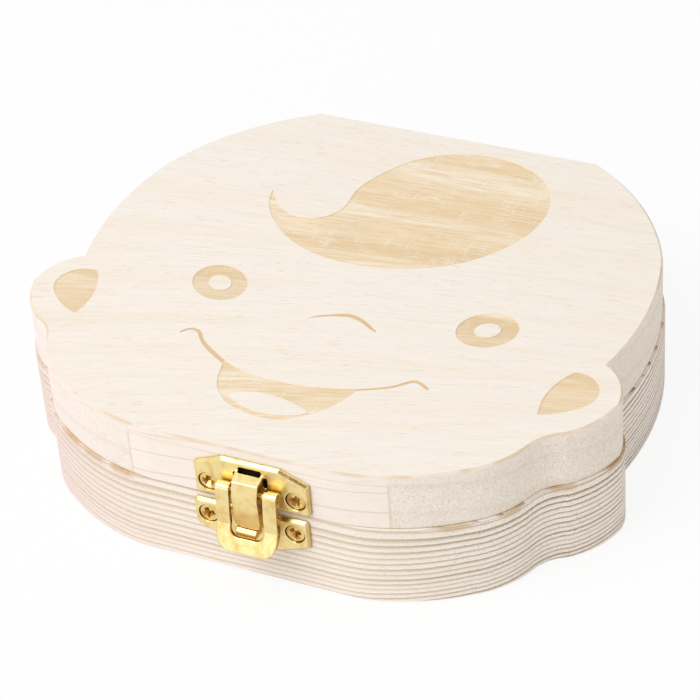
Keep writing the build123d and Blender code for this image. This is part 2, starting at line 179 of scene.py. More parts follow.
def dark_flag(name, direction, away_mm, half_mm):
    """A dark square card that only the metal sees, standing off in a direction from the latch."""
    facing = Vector(direction).normalized()
    card = bpy.data.meshes.new(name)
    bench = bmesh.new()
    bmesh.ops.create_grid(bench, x_segments=1, y_segments=1, size=half_mm * mm)
    bmesh.ops.rotate(bench, verts=bench.verts, matrix=facing.to_track_quat("Z", "Y").to_matrix())
    bmesh.ops.translate(bench, verts=bench.verts, vec=facing * away_mm * mm + middle_of_latch)
    bench.to_mesh(card)
    bench.free()
    flag = bpy.data.objects.new(name, card)
    flag.visible_camera = flag.visible_diffuse = flag.visible_shadow = flag.visible_transmission = False
    bpy.context.scene.collection.objects.link(flag)
    brown = bpy.data.materials.new(name)
    brown.use_nodes = True
    card_shader = brown.node_tree.nodes["Principled BSDF"]
    card_shader.inputs["Base Color"].default_value = (0.24, 0.14, 0.05, 1)
    card_shader.inputs["Roughness"].default_value = 1.0
    card_shader.inputs["Specular IOR Level"].default_value = 0.0
    card.materials.append(brown)
    print(name, "stands", away_mm, "mm from the latch")


soft_lamp("key_lamp", (-330, -540, 860), 700, 5.0, (1.0, 1.0, 0.99))
soft_lamp("left_lamp", (-900, -60, 260), 500, 0.9, (0.66, 0.34, 1.0), wood_only=True)
soft_lamp("foot_strip", (-180, -540, 60), 200, 0.07, (1.0, 1.0, 0.95), metal_only=True)
dark_flag("right_flag", (0.31, -0.69, 0.65), 420, 95)

# %% [markdown]
# The floor is a big sheet of white paper. Where the camera looks at it directly it glows a little, so that
# it melts into the white background, and the rest of its light still carries the shadow of the box.

# %% Floor
floor_side = 4.0
paper_glow = 0.86
floor_mesh = bpy.data.meshes.new("floor")
half_floor = floor_side / 2
floor_corners = [(-half_floor, -half_floor, 0), (half_floor, -half_floor, 0),
                 (half_floor, half_floor, 0), (-half_floor, half_floor, 0)]
floor_mesh.from_pydata(floor_corners, [], [(0, 1, 2, 3)])
floor = bpy.data.objects.new("floor", floor_mesh)
bpy.context.scene.collection.objects.link(floor)

paper = bpy.data.materials.new("white_paper")
paper.use_nodes = True
paper_tree = paper.node_tree
paper_tree.nodes.clear()
paper_rays = paper_tree.nodes.new("ShaderNodeLightPath")
paper_share = paper_tree.nodes.new("ShaderNodeMath")
paper_share.operation = "MULTIPLY"
paper_share.inputs[1].default_value = paper_glow
paper_lit = paper_tree.nodes.new("ShaderNodeBsdfDiffuse")
paper_lit.inputs["Color"].default_value = (0.95, 0.95, 0.95, 1)
paper_white = paper_tree.nodes.new("ShaderNodeEmission")
paper_white.inputs["Strength"].default_value = 1.0
paper_mix = paper_tree.nodes.new("ShaderNodeMixShader")
paper_out = paper_tree.nodes.new("ShaderNodeOutputMaterial")
paper_tree.links.new(paper_rays.outputs["Is Camera Ray"], paper_share.inputs[0])
paper_tree.links.new(paper_share.outputs[0], paper_mix.inputs[0])
paper_tree.links.new(paper_lit.outputs[0], paper_mix.inputs[1])
paper_tree.links.new(paper_white.outputs[0], paper_mix.inputs[2])
paper_tree.links.new(paper_mix.outputs[0], paper_out.inputs[0])
floor_mesh.materials.append(paper)
print("the floor is", floor_side, "m wide")

# %% [markdown]
# Finishes and screws are both chains of small nodes. Wiring each one by hand hides the recipe, so we
# first make a bench: a method adds a node, feeds it, and hands back its output. The same bench serves the
# shader nodes of a finish and the geometry nodes of a screw.

# %% The bench


class Bench:
    """A sheet of nodes being wired. Most methods add a node or two and hand back the last one's output."""

    def __init__(self, tree):
        self.tree = tree

    def node(self, kind, **settings):
        made = self.tree.nodes.new(kind)
        for name, value in settings.items():
            setattr(made, name, value)
        return made

    def feed(self, socket, value):
        if isinstance(value, bpy.types.NodeSocket):
            self.tree.links.new(value, socket)
        else:
            socket.default_value = value

    def split(self, vector):
        made = self.node("ShaderNodeSeparateXYZ")
        self.feed(made.inputs[0], vector)
        return made.outputs[0], made.outputs[1], made.outputs[2]

    def join(self, x, y, z):
        made = self.node("ShaderNodeCombineXYZ")
        for socket, value in zip(made.inputs, (x, y, z)):
            self.feed(socket, value)
        return made.outputs[0]

    def calc(self, operation, *values):
        made = self.node("ShaderNodeMath", operation=operation)
        for socket, value in zip(made.inputs, values):
            self.feed(socket, value)
        return made.outputs[0]

    def sum(self, *values):
        total = values[0]
        for value in values[1:]:
            total = self.calc("ADD", total, value)
        return total

    def times(self, *values):
        total = values[0]
        for value in values[1:]:
            total = self.calc("MULTIPLY", total, value)
        return total

    def step(self, value, start, end, low=0.0, high=1.0, kind="SMOOTHSTEP"):
        """A soft step: low where the value is at start, high where it is at end."""
        made = self.node("ShaderNodeMapRange", interpolation_type=kind)
        for name, given in (("Value", value), ("From Min", start), ("From Max", end),
                            ("To Min", low), ("To Max", high)):
            self.feed(made.inputs[name], given)
        return made.outputs[0]

    def ramp(self, value, start, end):
        """A straight slope from 0 at start to 1 at end, level outside."""
        return self.step(value, start, end, kind="LINEAR")

    def band(self, value, low, high, soft):
        """1 between low and high, 0 outside, with soft edges."""
        return self.times(self.step(value, low - soft, low), self.step(value, high, high + soft, 1.0, 0.0))


# %% [markdown]
# A finish adds to the bench what a material needs. All patterns are measured in millimetres of the
# object's own space, so they stay put when the lid opens.

# %% The mixing bench


def paint(red, green, blue):
    """A colour as a painter reads it off a screen, 0 to 255, turned into the linear light of a render."""
    def linear(value):
        share = value / 255
        return share / 12.92 if share <= 0.04045 else ((share + 0.055) / 1.055) ** 2.4
    return (linear(red), linear(green), linear(blue), 1.0)


class Finish(Bench):
    """A material being mixed."""

    def __init__(self, name):
        self.material = bpy.data.materials.new(name)
        self.material.use_nodes = True
        super().__init__(self.material.node_tree)
        self.tree.nodes.clear()
        place = self.node("ShaderNodeTexCoord")
        scaled = self.node("ShaderNodeVectorMath", operation="SCALE")
        self.feed(scaled.inputs["Scale"], 1 / mm)
        self.feed(scaled.inputs[0], place.outputs["Object"])
        self.mm = scaled.outputs[0]
        self.x, self.y, self.z = self.split(self.mm)
        self.face_x, self.face_y, self.face_z = self.split(place.outputs["Normal"])

    def cloud(self, size, seed=0.0, detail=2.0, where=None, stretch=(1, 1, 1)):
        """Soft random values from 0 to 1 in lumps of the given size in mm, stretched along x, y or z."""
        mapping = self.node("ShaderNodeMapping")
        self.feed(mapping.inputs["Vector"], self.mm if where is None else where)
        mapping.inputs["Scale"].default_value = [1 / (size * part) for part in stretch]
        mapping.inputs["Location"].default_value = (seed, seed * 1.7, seed * 2.3)
        made = self.node("ShaderNodeTexNoise")
        made.inputs["Scale"].default_value = 1.0
        made.inputs["Detail"].default_value = detail
        self.feed(made.inputs["Vector"], mapping.outputs[0])
        return made.outputs[0]

    def lottery(self, number):
        """One random value from 0 to 1 for each whole number, such as the number of a growth ring."""
        made = self.node("ShaderNodeTexWhiteNoise", noise_dimensions="1D")
        self.feed(made.inputs["W"], number)
        return made.outputs[0]

    def tint(self, share, under, over):
        """The colour under, covered by the colour over to the given share."""
        made = self.node("ShaderNodeMix", data_type="RGBA")
        self.feed(made.inputs[0], share)
        self.feed(made.inputs[6], under)
        self.feed(made.inputs[7], over)
        return made.outputs[2]

    def relief(self, height, depth_mm):
        """A bump that makes heights from 0 to 1 look as deep as the given depth in mm."""
        made = self.node("ShaderNodeBump")
        made.inputs["Distance"].default_value = depth_mm * mm
        self.feed(made.inputs["Height"], height)
        return made.outputs[0]

    def done(self, colour, roughness, relief, **uniform):
        """Closes the recipe with the shader; uniform values are set on its own sockets."""
        shader = self.node("ShaderNodeBsdfPrincipled")
        self.feed(shader.inputs["Base Color"], colour)
        self.feed(shader.inputs["Roughness"], roughness)
        self.feed(shader.inputs["Normal"], relief)
        for name, value in uniform.items():
            shader.inputs[name.replace("_", " ")].default_value = value
        out = self.node("ShaderNodeOutputMaterial")
        self.feed(out.inputs[0], shader.outputs[0])
        print(self.material.name, "has", len(self.tree.nodes), "nodes")
        return self.material


# %% [markdown]
# The base is one block of flat-sawn pine. Its growth rings lie almost level, so the saw shows them as
# lines that wrap round all the sides. A ring starts pale and soft, darkens slowly and stops sharply. We
# number the rings by height and draw each line from the fraction that is left over when the whole number
# is taken away. Clouds of noise let the rings drift and wave across the block, and towards the right ear
# they sink and crowd together. On the level faces the same rings show as long bows that run across the box.

# %% Growth rings
top_of_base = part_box("base_block")[1].z / mm
ring_end = 0.95


def ring_line(wood, ring, thin, thick, seed):
    """A dark line at the end of each growth ring, with its own width and strength for each ring."""
    share = wood.calc("FRACT", ring)
    number = wood.calc("ADD", wood.calc("FLOOR", ring), seed)
    width = wood.step(wood.lottery(number), 0.0, 1.0, thin, thick)
    start = wood.calc("SUBTRACT", 0.96, width)
    rise = wood.step(share, start, ring_end)
    fall = wood.step(share, ring_end + 0.005, 1.0, 1.0, 0.0)
    strength = wood.step(wood.lottery(wood.calc("ADD", number, 40.5)), 0.0, 1.0, 0.6, 1.0)
    return wood.times(rise, fall, strength)


def base_rings(wood, flat, upright):
    """The number of the growth ring at each point: whole at its end, with a fraction in between."""
    rings_per_mm, thinning, fan_per_mm, flat_rings_per_mm = 0.92, -0.0125, -0.075, 0.13
    fan_from = 18.0
    fuzz = wood.step(wood.cloud(0.30, seed=6.6, detail=1, stretch=(1, 1, 5)), 0.25, 0.75, -0.04, 0.04)
    drift = wood.step(wood.cloud(75, seed=3.1, detail=1), 0.0, 1.0, -0.8, 0.8)
    wave = wood.step(wood.cloud(17, seed=8.4, detail=2, stretch=(1.6, 1.0, 1.0)), 0.0, 1.0, -0.22, 0.22)
    level = wood.calc("SUBTRACT", wood.z, 0.5)
    past = wood.calc("MAXIMUM", wood.calc("SUBTRACT", wood.x, fan_from), 0.0)
    fan = wood.times(past, wood.ramp(wood.z, top_of_base, 0.0), fan_per_mm)
    by_height = wood.sum(wood.times(level, rings_per_mm), wood.times(level, level, thinning))
    upright_ring = wood.sum(by_height, fan, drift, wave, fuzz, 20.0)
    bend = wood.step(wood.cloud(34, seed=14.0, detail=1, stretch=(4, 1, 1)), 0.0, 1.0, -2.4, 2.4)
    flat_ring = wood.sum(wood.times(wood.y, flat_rings_per_mm), bend, fuzz, 60.0)
    return wood.sum(wood.times(upright_ring, upright), wood.times(flat_ring, flat))


print("the base shows rings over", round(top_of_base, 1), "mm")

# %% [markdown]
# Over the rings go the fibres, the pores and small ticks that break each line up, as the saw does on end
# grain. The left side is painted a cooler, darker tint, a painted lilac cast of the light from that side,
# and the lines are faint there and brown on the right. Just under the lid a tan band and a few small soft
# patches are painted in, partly the wood's own tan and partly painted shade where the lid overhangs; the
# patches' places are listed.

# %% Base block
turns_right = (18.0, 56.0)
turns_left = (-8.0, -45.0)
tan_shade_above = (15.6, 17.0)
tan_shade_patches = (
    (39.0, -46.6, 3.8), (46.5, -39.1, 3.0), (53.5, -30.6, 3.2), (59.9, -20.6, 3.6),
    (60.5, -15.0, 4.0), (-38.2, -46.6, 4.6), (-32.0, -50.0, 4.2), (-25.0, -52.4, 3.6),
)


def round_patches(wood, patches):
    """Soft round patches, each with its place and its reach in mm."""
    total = 0.0
    for x, y, reach in patches:
        away = wood.calc("SQRT", wood.sum(
            wood.calc("POWER", wood.calc("SUBTRACT", wood.x, x), 2.0),
            wood.calc("POWER", wood.calc("SUBTRACT", wood.y, y), 2.0)))
        total = wood.calc("ADD", total, wood.step(away, 0.35 * reach, reach, 1.0, 0.0))
    return wood.calc("MINIMUM", total, 1.0)


def base_pine():
    wood = Finish("base_pine")
    right = wood.step(wood.x, *turns_right)
    left = wood.step(wood.x, *turns_left)
    flat = wood.step(wood.calc("ABSOLUTE", wood.face_z), 0.80, 0.95)
    upright = wood.calc("SUBTRACT", 1.0, flat)
    ring = base_rings(wood, flat, upright)
    thin = wood.step(right, 0.0, 1.0, 0.34, 0.28)
    thick = wood.step(right, 0.0, 1.0, 0.86, 0.62)
    line = ring_line(wood, ring, thin, thick, 7.0)
    late = wood.step(wood.calc("FRACT", ring), 0.15, ring_end)
    fibre = wood.cloud(0.9, seed=1.0, detail=3, stretch=(9, 1.4, 0.35))
    pores = wood.step(wood.cloud(0.24, seed=5.0, detail=1, stretch=(1.2, 1.2, 1.6)), 0.56, 0.74)
    tick_low = wood.step(right, 0.0, 1.0, 1.0, 0.68)
    ticks = wood.step(wood.cloud(0.25, seed=15.0, detail=1), 0.36, 0.62, tick_low, 1.0)
    strength = wood.times(line, ticks, wood.sum(0.80, wood.times(right, 0.20), wood.times(left, -0.15)))
    line_colour = wood.tint(right, paint(212, 188, 146), paint(122, 84, 42))
    late_share = wood.times(late, wood.step(right, 0.0, 1.0, 0.16, 0.06))
    pore_share = wood.times(pores, wood.step(right, 0.0, 1.0, 0.10, 0.36))
    patches = wood.times(wood.step(wood.z, *tan_shade_above), round_patches(wood, tan_shade_patches))
    ledge_tan_and_shade = wood.times(wood.step(wood.z, top_of_base - 0.5, top_of_base - 0.15), upright)
    colour = wood.tint(wood.cloud(26, seed=2.0), paint(255, 248, 240), paint(252, 242, 231))
    # painted light: a darker lilac-grey cast on the left side, where the lilac lamp's light falls
    colour = wood.tint(wood.times(left, 0.75), colour, paint(235, 219, 214))
    colour = wood.tint(wood.times(fibre, 0.26), colour, paint(234, 215, 192))
    colour = wood.tint(late_share, colour, paint(222, 196, 160))
    colour = wood.tint(strength, colour, line_colour)
    colour = wood.tint(pore_share, colour, paint(160, 124, 84))
    # painted shade: soft tan patches just under the lid's overhang, partly the wood's own tan
    colour = wood.tint(wood.times(patches, 0.55), colour, paint(206, 170, 110))
    # painted shade: a tan band just under the lid, partly the ledge's own tan, partly the shade of the
    # lid's overhang
    colour = wood.tint(wood.times(ledge_tan_and_shade, 0.36), colour, paint(190, 150, 98))
    height = wood.sum(wood.times(line, 0.6), wood.times(fibre, 0.5), wood.times(pores, -0.5))
    rough = wood.step(fibre, 0.3, 0.8, 0.62, 0.74)
    return wood.done(colour, rough, wood.relief(height, 0.09), Specular_IOR_Level=0.25)


finishes = {"base": base_pine()}

# %% [markdown]
# The lid frame is glued up from four boards. The two side boards show end grain at the front, a fine
# stipple of cut fibres, while the rail between them shows long grain with a few faint lines. The thin
# panel on top was sanded flush with them, so its edge carries on with the same grain, and each pattern is
# written once, for the boards and for the panel's edge. The wood behind the latch's slots is painted dark
# brown, as painted shade for the gloom seen through the slots.

# %% Lid frame
seam_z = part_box("lid_front_rail")[1].z / mm
joint_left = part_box("lid_front_rail")[0].x / mm
joint_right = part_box("lid_front_rail")[1].x / mm
plate_low, plate_high = (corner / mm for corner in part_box("latch_lid_plate"))
latch_x = (plate_low.x + plate_high.x) / 2
glue_tan = paint(205, 172, 120)
print("the front rail runs from", round(joint_left, 1), "to", round(joint_right, 1), "mm")


def seam_shade(wood, reach=0.12):
    """A thin tan glue line where the panel lies on the frame."""
    away = wood.calc("ABSOLUTE", wood.calc("SUBTRACT", wood.z, seam_z))
    return wood.step(away, 0.03, reach, 1.0, 0.0)


def end_grain(wood):
    """Colour and height of cut fibre ends."""
    stipple = wood.cloud(0.22, seed=2.2, detail=1, stretch=(1, 1, 1.7))
    dots = wood.step(stipple, 0.48, 0.72)
    milling = wood.cloud(0.38, seed=9.1, detail=2, stretch=(1, 1, 9))
    arcs = wood.sum(wood.times(wood.z, 0.16), wood.times(wood.y, 0.02), wood.cloud(40, seed=4.0), 5.0)
    line = ring_line(wood, arcs, 0.15, 0.4, 3.0)
    dark = wood.step(wood.x, -20.0, 34.0, 0.10, 0.38)
    colour = wood.tint(wood.cloud(18, seed=1.5), paint(251, 242, 232), paint(246, 235, 222))
    colour = wood.tint(wood.times(dots, dark), colour, paint(204, 174, 138))
    colour = wood.tint(wood.times(wood.step(milling, 0.45, 0.7), 0.12), colour, paint(206, 184, 156))
    colour = wood.tint(wood.times(line, 0.14), colour, paint(206, 176, 134))
    return colour, wood.sum(wood.times(dots, -0.7), wood.times(milling, 0.5))


def long_grain(wood):
    """Colour and height of sawn fibres that run along x, with a few growth lines."""
    bend = wood.step(wood.cloud(45, seed=7.7, detail=1), 0.0, 1.0, -0.4, 0.4)
    ring = wood.sum(wood.times(wood.z, 0.24), wood.times(wood.x, -0.013), bend, 30.15)
    line = ring_line(wood, ring, 0.04, 0.18, 11.0)
    fibre = wood.cloud(0.7, seed=3.0, detail=3, stretch=(14, 0.9, 0.5))
    colour = wood.tint(wood.cloud(30, seed=5.5), paint(251, 242, 233), paint(248, 236, 224))
    colour = wood.tint(wood.times(wood.step(fibre, 0.45, 0.75), 0.22), colour, paint(222, 200, 172))
    colour = wood.tint(wood.times(line, 0.42), colour, paint(206, 175, 130))
    return colour, wood.sum(wood.times(line, 0.4), wood.times(fibre, 0.6))


def stile_pine():
    wood = Finish("end_grain_pine")
    colour, height = end_grain(wood)
    glue = wood.sum(wood.band(wood.x, joint_right - 0.5, joint_right + 0.3, 0.3),
                    wood.band(wood.x, joint_left - 0.3, joint_left + 0.5, 0.3))
    colour = wood.tint(wood.times(glue, 0.30), colour, paint(212, 184, 142))
    colour = wood.tint(wood.times(seam_shade(wood), 0.12), colour, glue_tan)
    return wood.done(colour, 0.74, wood.relief(height, 0.07), Specular_IOR_Level=0.22)


def rail_pine():
    wood = Finish("long_grain_pine")
    colour, height = long_grain(wood)
    colour = wood.tint(wood.times(seam_shade(wood), 0.40), colour, glue_tan)
    slot_half = 3.4
    # painted shade: the wood hidden behind the latch plate, seen only through its slots
    slot_shade = wood.times(wood.band(wood.x, latch_x - slot_half, latch_x + slot_half, 0.2),
                        wood.band(wood.z, plate_low.z + 3.0, plate_high.z - 0.6, 0.2),
                        wood.step(wood.y, -52.9, -53.0))
    # painted shade: dark brown behind the slots
    colour = wood.tint(slot_shade, colour, paint(52, 36, 22))
    return wood.done(colour, 0.68, wood.relief(height, 0.06), Specular_IOR_Level=0.25)


finishes["stile"] = stile_pine()
finishes["rail"] = rail_pine()

# %% [markdown]
# The lid panel is a thin pale board. Its grain runs a little askew and turns at the left. We squeeze the
# coordinates along the grain, so that round clouds of noise become long streaks: fine ones, broad ones, and
# short dark flecks. The finish is mixed in three parts, and the bare board comes first.

# %% Bare board
panel_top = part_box("lid_panel")[1].z / mm


def panel_grain(wood):
    """The streaks of the board, by name, and its bare colour."""
    across = wood.sum(wood.y, wood.times(wood.x, -0.17), wood.times(wood.x, wood.y, 0.0042))
    along = wood.times(wood.x, 0.045)
    grain = wood.join(along, across, wood.times(wood.z, 0.3))
    wander = wood.step(wood.cloud(6, seed=2.5, where=grain, detail=2), 0.0, 1.0, -3.0, 3.0)
    wide = wood.join(along, wood.calc("ADD", across, wander), 0.0)
    short = wood.join(wood.times(wood.x, 0.13), across, 0.0)
    streaks = {
        "fine": wood.cloud(0.42, seed=4.4, where=grain, detail=4),
        "sharp": wood.step(wood.cloud(0.9, seed=8.8, where=grain, detail=4), 0.54, 0.72),
        "broad": wood.step(wood.cloud(4.2, seed=5.3, where=wide, detail=2), 0.45, 0.75),
        "bands": wood.cloud(5.5, seed=6.1, where=wide, detail=3),
        "pale": wood.step(wood.cloud(1.7, seed=21.0, where=wide, detail=3), 0.60, 0.70),
        "fleck": wood.step(wood.cloud(0.34, seed=12.0, where=short, detail=1), 0.62, 0.76),
    }
    colour = wood.tint(wood.cloud(34, seed=3.3), paint(250, 244, 235), paint(248, 240, 228))
    colour = wood.tint(wood.times(streaks["broad"], 0.36), colour, paint(243, 228, 200))
    fine_share = wood.times(wood.step(streaks["fine"], 0.42, 0.68), 0.30)
    colour = wood.tint(fine_share, colour, paint(238, 222, 195))
    colour = wood.tint(wood.times(streaks["sharp"], 0.18), colour, paint(234, 213, 180))
    colour = wood.tint(wood.times(streaks["fleck"], 0.34), colour, paint(218, 190, 150))
    return streaks, colour


print("the panel's top is at", round(panel_top, 2), "mm")

# %% [markdown]
# The face was burnt in by a laser that swept to and fro. It left a shallow tan floor with a faint cross
# hatch, and brought out the grain. The hatch is two clouds, each pulled long in one direction, and shows
# only in patches. Thin strokes are burnt darker than wide areas, so the nose and the ends of the smile, the
# eyes and the ear petals each have their own zone, given by where they lie on the board.

# %% Burnt colour
smile_ends_x, smile_ends_y = (13.5, 34.0), (-35.5, -21.0)
nose_x, nose_y = (-5.0, 11.0), (-15.0, -8.5)
eyes_y = (-14.5, -2.0)
petals_x = (42.0, 44.0)


def burnt_wood(wood, streaks):
    """Colour of the burnt floor, and where the hatch shows on it."""
    burn = wood.tint(wood.step(streaks["bands"], 0.38, 0.60), paint(250, 236, 209), paint(241, 218, 180))
    burn = wood.tint(wood.times(wood.step(streaks["bands"], 0.58, 0.72), 0.40), burn, paint(224, 193, 146))
    burn = wood.tint(wood.times(streaks["pale"], 0.80), burn, paint(252, 240, 216))
    burn = wood.tint(wood.times(wood.step(streaks["fine"], 0.42, 0.62), 0.50), burn, paint(223, 193, 147))
    to_and_fro = wood.step(wood.cloud(0.30, seed=31.0, detail=1, stretch=(14, 1, 1)), 0.54, 0.66)
    up_and_down = wood.step(wood.cloud(0.30, seed=37.0, detail=1, stretch=(1, 14, 1)), 0.54, 0.66)
    patchy = wood.step(wood.cloud(3.0, seed=9.9, detail=4), 0.42, 0.62)
    hatch = wood.times(wood.calc("MAXIMUM", to_and_fro, up_and_down), patchy)
    burn = wood.tint(wood.times(hatch, 0.60), burn, paint(253, 242, 222))
    off_middle = wood.calc("ABSOLUTE", wood.x)
    smile_ends = wood.times(wood.band(off_middle, *smile_ends_x, 0.3),
                            wood.band(wood.y, *smile_ends_y, 0.5))
    nose_line = wood.times(wood.band(wood.x, *nose_x, 0.5), wood.band(wood.y, *nose_y, 0.5))
    drawn = wood.calc("MAXIMUM", smile_ends, nose_line)
    burn = wood.tint(wood.times(drawn, 0.8), burn, paint(222, 192, 146))
    burn = wood.tint(wood.times(wood.band(wood.y, *eyes_y, 0.5), 0.40), burn, paint(220, 194, 150))
    burn = wood.tint(wood.times(wood.step(off_middle, *petals_x), 0.35), burn, paint(230, 202, 158))
    return burn, hatch


# %% [markdown]
# Last come the edges. The panel was sanded flush with the frame, so its sides carry on with the frame's
# end grain and long grain, and its broken top corner is painted a patchy tan, painted shade that dims the
# bright bevel. The burnt floor is found by its height and by the way it faces, and so are the low walls
# round it, which get a light burnt tan, kept light as painted light against the shade that falls in them.

# %% Engraved panel
engraving_depth = 0.15


def panel_pine(top_z, floor_z):
    wood = Finish("engraved_panel")
    streaks, colour = panel_grain(wood)
    burn, hatch = burnt_wood(wood, streaks)
    deep = (top_z + floor_z) / 2
    facing_up = wood.step(wood.face_z, 0.85, 0.95)
    burnt = wood.times(facing_up, wood.step(wood.z, deep - 0.03, deep + 0.03, 1.0, 0.0))
    steep = wood.step(wood.face_z, 0.35, 0.55, 1.0, 0.0)
    wall = wood.times(steep, wood.step(wood.z, floor_z - 0.12, floor_z - 0.05))
    colour = wood.tint(burnt, colour, burn)
    ends, ends_height = end_grain(wood)
    sawn = long_grain(wood)[0]
    front = wood.band(wood.x, joint_left, joint_right, 0.15)
    edge = wood.tint(front, ends, sawn)
    glue_line = wood.times(seam_shade(wood), wood.step(front, 0.0, 1.0, 0.12, 0.40))
    edge = wood.tint(glue_line, edge, glue_tan)
    side = wood.step(wood.calc("ABSOLUTE", wood.face_z), 0.4, 0.9, 1.0, 0.0)
    colour = wood.tint(side, colour, edge)
    # burnt tan on the walls, kept light as painted light that offsets the shade falling in them
    colour = wood.tint(wood.times(wall, 0.8), colour, paint(244, 222, 186))
    # painted shade: a patchy tan on the top corner's bevel that dims its highlight
    bevel_shade_patchiness = wood.step(wood.cloud(7, seed=3.7), 0.40, 0.58, 0.4, 1.0)
    corner = wood.times(wood.band(wood.face_z, 0.3, 0.9, 0.05), bevel_shade_patchiness)
    near_top = wood.step(wood.z, top_z - 0.8, top_z - 0.5)
    colour = wood.tint(wood.times(corner, near_top, 0.55), colour, paint(214, 184, 138))
    height = wood.sum(wood.times(streaks["fine"], 0.6), wood.times(streaks["sharp"], -0.2))
    height = wood.sum(height, wood.times(burnt, hatch, 0.5), wood.times(side, ends_height, 0.6))
    rough = wood.step(streaks["fine"], 0.3, 0.8, 0.58, 0.70)
    return wood.done(colour, rough, wood.relief(height, 0.05), Specular_IOR_Level=0.28)


finishes["panel"] = panel_pine(panel_top, panel_top - engraving_depth)

# %% [markdown]
# The latch and hinges are pressed from sheet brass and polished. Polished metal shows the studio more
# than itself, so its own colour stays simple: a pale gold with faint clouds and warmer stains, fine
# rubbing scratches, and a surface that is never quite flat after the press. The foot of the nose and the
# faces that look right or down are painted a deeper gold, as painted dark reflections, because on a real
# latch they mirror hardly any light.

# %% Brass
recess_name = "recess"
nose_half = 3.3
nose_behind, nose_front = -55.6, -56.0
nose_foot_height = 3.0
sheet_behind, sheet_front = -54.2, -54.6


def polished_brass(name, gold, rub, dull, recess=False):
    metal = Finish(name)
    clouds = metal.cloud(5.0, seed=1.2, detail=3)
    dents = metal.cloud(2.0, seed=7.2, detail=1)
    scratch = metal.cloud(0.28, seed=6.5, detail=2, stretch=(rub, 1, 1))
    tarnish = metal.step(metal.cloud(2.2, seed=3.9, detail=3), 0.50, 0.70)
    stain = metal.step(metal.cloud(1.2, seed=11.4, detail=4, stretch=(1, 1, 1.8)), 0.50, 0.62)
    on_nose = metal.times(metal.band(metal.x, latch_x - nose_half, latch_x + nose_half, 0.2),
                          metal.step(metal.y, nose_behind, nose_front))
    nose_foot = metal.times(on_nose, metal.band(metal.z, plate_low.z, plate_low.z + nose_foot_height, 2.5))
    looks_right = metal.step(metal.face_x, 0.45, 0.85)
    looks_down = metal.step(metal.face_z, -0.35, -0.8)
    colour = metal.tint(metal.times(clouds, 0.45), gold, paint(222, 190, 118))
    colour = metal.tint(metal.times(stain, 0.30), colour, paint(228, 176, 74))
    colour = metal.tint(metal.times(tarnish, 0.26), colour, paint(196, 144, 56))
    # painted dark reflection: a deeper gold on the foot of the nose
    colour = metal.tint(metal.times(nose_foot, 0.50), colour, paint(208, 152, 60))
    # painted dark reflection: faces that look right or down are a deeper gold
    dark_side = metal.calc("MAXIMUM", looks_right, looks_down)
    colour = metal.tint(metal.times(dark_side, 0.60), colour, paint(150, 98, 30))
    if recess:
        inside = metal.node("ShaderNodeAttribute", attribute_name=recess_name)
        colour = metal.tint(metal.times(inside.outputs[2], 0.90), colour, paint(172, 120, 46))
    looks_front = metal.step(metal.face_y, -0.95, -0.98)
    flat_sheet = metal.times(metal.step(metal.y, sheet_front, sheet_behind), looks_front, 0.14)
    rubbed = metal.step(scratch, 0.3, 0.8, dull, dull + 0.08)
    rough = metal.sum(rubbed, metal.times(tarnish, 0.06), flat_sheet)
    height = metal.sum(metal.times(scratch, 0.3), metal.times(dents, 6.0))
    return metal.done(colour, rough, metal.relief(height, 0.012), Metallic=1.0)


finishes["latch"] = polished_brass("latch_brass", paint(246, 230, 168), 3.0, 0.20)
finishes["hinge"] = polished_brass("hinge_brass", paint(236, 212, 146), 5.0, 0.20)
finishes["screw"] = polished_brass("screw_brass", paint(232, 210, 148), 1.0, 0.24, recess=True)

# %% [markdown]
# Every solid now gets its finish. The name of a solid says what it is, so a short list of words finds the
# right finish for each, and a name that none of them fits would stop the script.

# %% Give every node its finish
finish_words = (("base_block", "base"), ("stile", "stile"), ("rail", "rail"), ("panel", "panel"),
                ("screws", "screw"), ("hinge", "hinge"), ("latch", "latch"))


def finish_for(node):
    """The finish of a node, from what its name says it is."""
    for word, finish in finish_words:
        if word in node:
            return finishes[finish]
    raise ValueError(node)


for node, piece in frame["nodes"].items():
    piece.data.materials.clear()
    piece.data.materials.append(finish_for(node))
print(len(frame["nodes"]), "nodes have their finish")

# %% [markdown]
# Sheet metal never leaves the press with knife edges, and a rounded edge is what draws the bright lines
# on a latch. A bevel would have to cope with many tiny triangles, so we cover each pressed part with a
# fine even skin instead, and relax the skin a little, which rounds every edge by a tenth of a millimetre.
# The hinge leaves are plain stampings, so we relax them once less and they stay a little crisper.

# %% Pressed sheet with soft edges
skin_mm = 0.12
latch_passes, hinge_passes = 3, 2


def settled(piece):
    """Turns a piece and its modifiers into a plain mesh."""
    graph = bpy.context.evaluated_depsgraph_get()
    mesh = bpy.data.meshes.new_from_object(piece.evaluated_get(graph), depsgraph=graph)
    piece.modifiers.clear()
    piece.data = mesh


def stands_for(piece, node):
    """Puts a finished piece in the place of a solid, on the same moving body."""
    body = body_of(frame["nodes"][node])[0]
    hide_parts(node)
    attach(piece, body)
    print(piece.name, "rides on", body, "with", len(piece.data.polygons), "faces")


